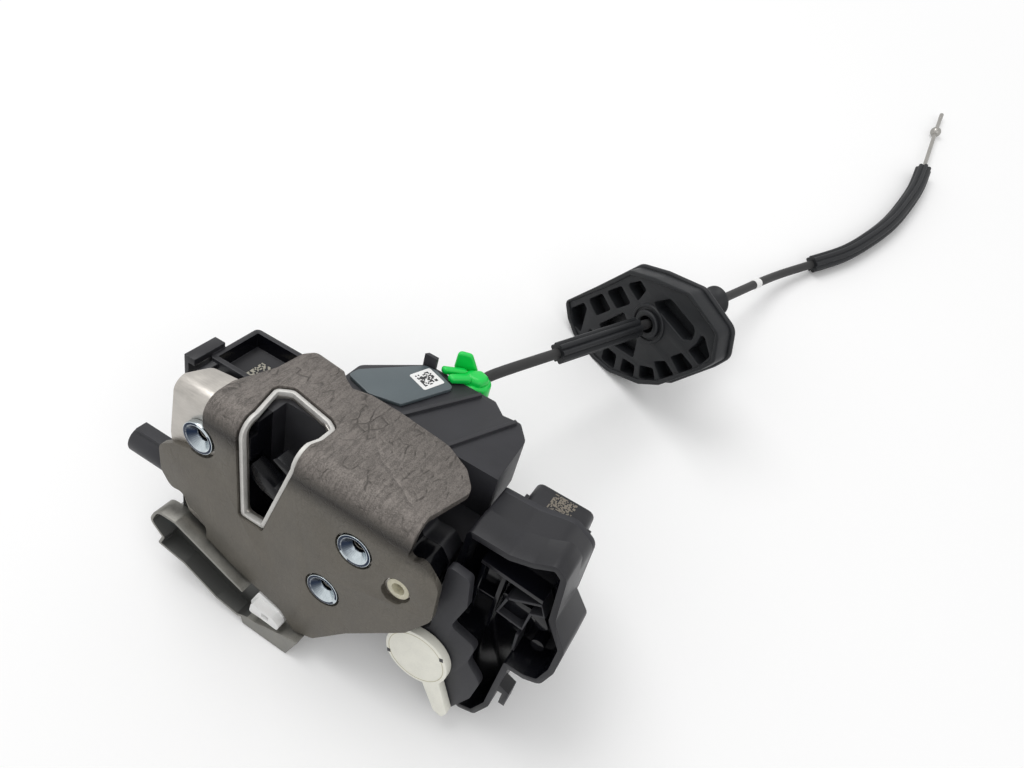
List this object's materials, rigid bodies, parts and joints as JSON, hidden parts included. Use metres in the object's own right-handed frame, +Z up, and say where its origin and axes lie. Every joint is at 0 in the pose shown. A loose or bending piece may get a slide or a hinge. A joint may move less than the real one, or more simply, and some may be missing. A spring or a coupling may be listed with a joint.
{
  "type": "car door lock",
  "caption": "Car door lock with a striker mouth in a folded steel plate, claw and pawl, lock motor, key and handle levers, and an inside release cable with a grommet.",
  "frame": {"origin": "centre of the underside of the lock's own box, on the surface it lies on; the cable is not counted", "axes": "+X along the bend of the shut plate towards the actuator, +Y away from the shut face, +Z up; the shut face looks along -Y and is raked 20 degrees upwards"},
  "size_m": [0.2378, 0.5084, 0.0948],
  "materials": {
    "dark_steel": "burnished dark steel",
    "zinc_steel": "zinc plated steel",
    "blue_zinc": "bluish zinc plating",
    "spring_steel": "drawn spring wire",
    "wire_steel": "bright drawn steel",
    "motor_steel": "plated can",
    "pin_brass": "tinned brass",
    "worm_brass": "turned brass",
    "black_plastic": "moulded black",
    "black_rubber": "matt black",
    "soft_rubber": "soft stop",
    "white_plastic": "natural white",
    "cream_plastic": "cream white",
    "grey_plastic": "slate grey",
    "green_plastic": "bright green"
  },
  "bodies": {
    "lock": {"shut_plate": "dark_steel", "backing_plate": "zinc_steel", "threaded_inserts": "blue_zinc", "release_pin": "cream_plastic", "claw_pin": "zinc_steel", "claw_spring": "spring_steel", "pawl_spring": "spring_steel", "striker_buffer": "soft_rubber", "latch_housing": "black_plastic", "latch_rear": "black_plastic", "back_plate": "zinc_steel", "end_cap": "black_plastic", "side_knob": "black_plastic", "release_housing": "black_plastic", "label_plate": "grey_plastic", "inside_lever_pin": "zinc_steel", "wire_guide": "black_plastic", "actuator_housing": "black_plastic", "lever_cover": "black_plastic", "rear_cover": "black_plastic", "cover_screws": "blue_zinc", "connector_shell": "black_plastic", "connector_pins": "pin_brass", "lock_motor": "motor_steel", "wheel_pin": "wire_steel", "lever_rivet": "blue_zinc", "cable_clip": "green_plastic", "conduit": "black_rubber", "near_sleeve": "black_rubber", "grommet": "black_rubber", "grommet_neck": "black_rubber", "marker_band": "white_plastic", "far_sleeve": "black_rubber"},
    "claw": {"claw": "dark_steel"},
    "pawl": {"pawl": "dark_steel", "pawl_lever": "dark_steel"},
    "wheel": {"worm_wheel": "white_plastic"},
    "worm": {"motor_worm": "worm_brass"},
    "lock_arm": {"lock_lever": "white_plastic"},
    "key_arm": {"key_lever": "cream_plastic"},
    "outside_arm": {"outside_lever": "zinc_steel", "rod_clip": "white_plastic"},
    "wire": {"inner_wire": "wire_steel"},
    "wire_barrel": {"near_wire": "wire_steel"},
    "inside_arm": {"inside_lever": "zinc_steel"}
  },
  "joints": [
    {"name": "claw_turn", "type": "hinge", "parent": "lock", "child": "claw", "pos_m": [0.00025, -0.02499, 0.06427], "axis": [0, 0.9397, -0.342], "range_deg": [-40, 0], "stiffness_Nm_per_rad": 0.05, "springref_deg": 8.59},
    {"name": "pawl_turn", "type": "hinge", "parent": "lock", "child": "pawl", "pos_m": [0.00745, -0.03333, 0.04134], "axis": [0, 0.9397, -0.342], "range_deg": [0, 22], "stiffness_Nm_per_rad": 0.03, "springref_deg": -8.59},
    {"name": "wheel_turn", "type": "hinge", "parent": "lock", "child": "wheel", "pos_m": [0.02725, -0.00155, 0.04722], "axis": [0, 0.9397, -0.342], "range_deg": [-35, 35]},
    {"name": "worm_turn", "type": "hinge", "parent": "lock", "child": "worm", "pos_m": [0.02725, -0.00702, 0.03219], "axis": [1, 0, 0], "range_deg": [-841, 841]},
    {"name": "lock_turn", "type": "hinge", "parent": "lock", "child": "lock_arm", "pos_m": [-0.00275, -0.00531, 0.04859], "axis": [0, 0.9397, -0.342], "range_deg": [-12.1, 12.1]},
    {"name": "key_turn", "type": "hinge", "parent": "lock", "child": "key_arm", "pos_m": [0.04725, -0.03837, 0.03189], "axis": [0, 0.9397, -0.342], "range_deg": [-30, 30]},
    {"name": "outside_turn", "type": "hinge", "parent": "lock", "child": "outside_arm", "pos_m": [-0.06575, -0.04379, 0.02429], "axis": [0, 0.9397, -0.342], "range_deg": [0, 10], "stiffness_Nm_per_rad": 0.15, "springref_deg": -17.19},
    {"name": "cable_pull", "type": "slide", "parent": "lock", "child": "wire", "axis": [-0.0542, 0.9979, -0.0347], "range_m": [0, 0.008], "stiffness_N_per_m": 300, "springref_m": -0.003},
    {"name": "barrel_slide", "type": "slide", "parent": "lock", "child": "wire_barrel", "axis": [0.4309, 0.8725, -0.2303], "range_m": [0, 0.008]},
    {"name": "inside_turn", "type": "hinge", "parent": "lock", "child": "inside_arm", "pos_m": [-0.01401, 0.02568, 0.06088], "axis": [0, 0.342, 0.9397], "range_deg": [0, 30.6]}
  ],
  "couplings": [
    {"joint": "worm_turn", "follows": "wheel_turn", "ratio": 24},
    {"joint": "lock_turn", "follows": "wheel_turn", "ratio": -0.343},
    {"joint": "barrel_slide", "follows": "cable_pull", "ratio": 1},
    {"joint": "inside_turn", "follows": "cable_pull", "rad_per_m": 66.5}
  ]
}
